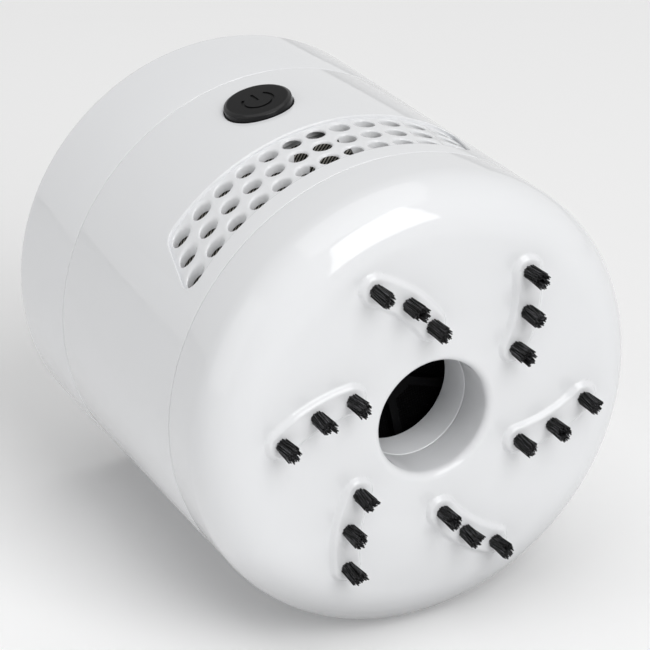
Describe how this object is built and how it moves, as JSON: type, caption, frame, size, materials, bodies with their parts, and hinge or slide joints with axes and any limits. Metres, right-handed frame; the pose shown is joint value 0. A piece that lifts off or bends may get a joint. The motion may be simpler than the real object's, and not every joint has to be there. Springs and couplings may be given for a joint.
{
  "type": "desktop mini vacuum cleaner",
  "caption": "Small upright drum that sweeps crumbs from a desk: brushes round a suction inlet below, a slanted vent panel and a power button at the side, a plain cap on top.",
  "frame": {"origin": "on the drum's axis, at the level of the bristle tips on which it stands", "axes": "+Z from the bristle tips up to the cap, +X towards the power button and the vent panel"},
  "size_m": [0.087, 0.086, 0.0915],
  "materials": {
    "white_shell": "glossy white",
    "plain_plastic": "satin white",
    "charcoal_button": "satin charcoal",
    "black_bristle": "black nylon",
    "dark_gauze": "woven",
    "black_rubber": "matt",
    "black_plastic": "satin black",
    "steel": "bright",
    "brass": "bright",
    "circuit_board": "solder mask",
    "cell_wrapper": "satin wrapper",
    "red_wire": "insulated",
    "black_wire": "insulated"
  },
  "bodies": {
    "housing": {"main_body": "white_shell", "vent_gauze": "dark_gauze", "fan_guard": "plain_plastic", "motor_deck": "plain_plastic", "motor_can": "steel", "motor_end_cap": "black_plastic", "motor_terminal_1": "brass", "motor_terminal_2": "brass", "motor_screw_1": "steel", "motor_screw_2": "steel", "guard_screw_1": "steel", "guard_screw_2": "steel", "guard_screw_3": "steel", "deck_screw_1": "steel", "deck_screw_2": "steel", "deck_screw_3": "steel", "switch_bracket": "plain_plastic", "switch_board": "circuit_board", "switch_case": "black_plastic", "bracket_screw_1": "steel", "bracket_screw_2": "steel", "battery_tray": "plain_plastic", "tray_screw_1": "steel", "tray_screw_2": "steel", "contact_positive": "brass", "contact_negative": "brass", "contact_bridge": "brass", "contact_spring_1": "steel", "contact_spring_2": "steel", "wire_battery_switch": "red_wire", "wire_switch_motor": "red_wire", "wire_motor_battery": "black_wire"},
    "cover": {"bottom_cover": "white_shell", "dust_cup": "white_shell", "seal_ring": "black_rubber", "bristle_set_1": "black_bristle", "bristle_set_2": "black_bristle", "bristle_set_3": "black_bristle"},
    "filter": {"filter_frame": "black_plastic", "filter_gauze": "dark_gauze"},
    "rotor": {"motor_shaft": "steel", "impeller": "black_plastic"},
    "button": {"power_button": "charcoal_button", "switch_plunger": "plain_plastic"},
    "cap": {"top_cap": "white_shell"},
    "cells": {"cell_1": "cell_wrapper", "cell_2": "cell_wrapper"}
  },
  "joints": [
    {"name": "cover_slide", "type": "slide", "parent": "housing", "child": "cover", "axis": [0, 0, -1], "range_m": [0, 0.03]},
    {"name": "filter_slide", "type": "slide", "parent": "housing", "child": "filter", "axis": [0, 0, -1], "range_m": [0, 0.012]},
    {"name": "rotor_spin", "type": "hinge", "parent": "housing", "child": "rotor", "pos_m": [0, 0, 0.04], "axis": [0, 0, 1], "continuous": true},
    {"name": "button_press", "type": "slide", "parent": "housing", "child": "button", "axis": [-1, 0, 0], "range_m": [0, 0.0015], "stiffness_N_per_m": 800, "springref_m": -0.0005},
    {"name": "cap_slide", "type": "slide", "parent": "housing", "child": "cap", "axis": [0, 0, 1], "range_m": [0, 0.03]},
    {"name": "cells_slide", "type": "slide", "parent": "housing", "child": "cells", "axis": [0, 0, 1], "range_m": [0, 0.015]}
  ],
  "couplings": [
    {"joint": "filter_slide", "follows": "cover_slide", "ratio": 0.4},
    {"joint": "cells_slide", "follows": "cap_slide", "ratio": 0.5}
  ]
}
